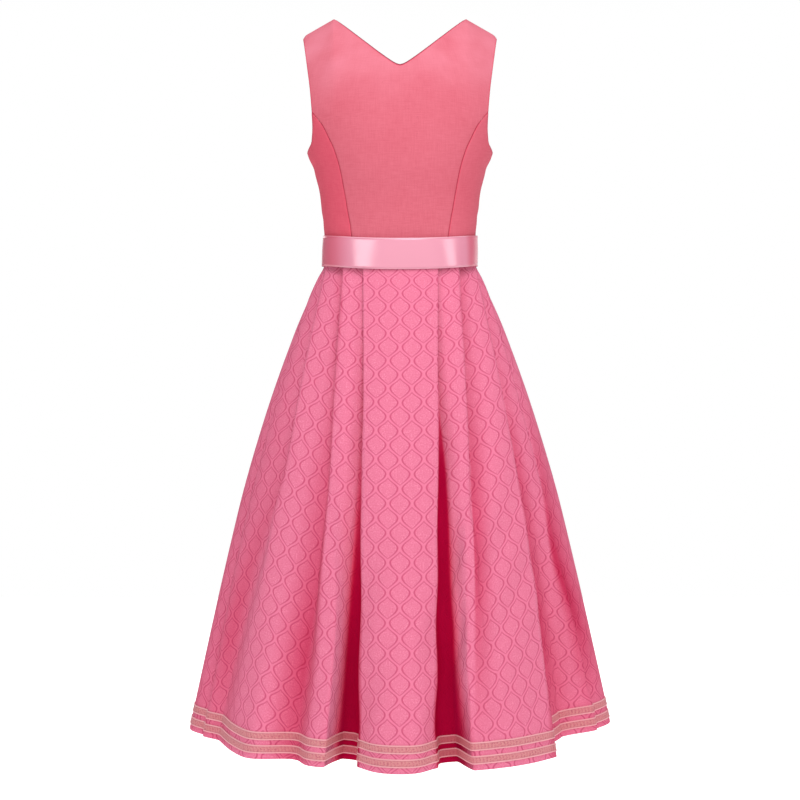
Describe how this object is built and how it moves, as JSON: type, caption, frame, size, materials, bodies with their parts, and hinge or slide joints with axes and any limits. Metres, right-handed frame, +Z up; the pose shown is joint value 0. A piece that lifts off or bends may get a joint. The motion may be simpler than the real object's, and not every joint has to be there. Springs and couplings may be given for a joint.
{
  "type": "dirndl",
  "caption": "Sleeveless dirndl with a fitted, V-backed bodice, a satin ribbon belt and a pleated, flared patterned skirt with trim near its hem.",
  "frame": {"origin": "where a wearer's shoulders carry the dress: the height of the bodice's neck points, midway between them", "axes": "+Z up, the back faces -Y and the front +Y, +X across towards the wearer's right side as seen from the back"},
  "size_m": [0.6812, 0.5838, 1.153],
  "materials": {
    "bodice": "matt coral woven cloth",
    "skirt": "pink tone-on-tone jacquard with an ogee lattice",
    "ribbon": "pink satin",
    "trim": "matt beige-salmon woven tape"
  },
  "bodies": {
    "root": {"bodice_back": "bodice", "bodice_side_back_left": "bodice", "bodice_side_back_right": "bodice", "bodice_side_front_left": "bodice", "bodice_side_front_right": "bodice", "bodice_front_left": "bodice", "bodice_front_right": "bodice", "skirt_back": "skirt", "skirt_front": "skirt", "waist_ribbon": "ribbon", "trim_upper_back": "trim", "trim_upper_front": "trim", "trim_lower_back": "trim", "trim_lower_front": "trim"}
  },
  "joints": []
}
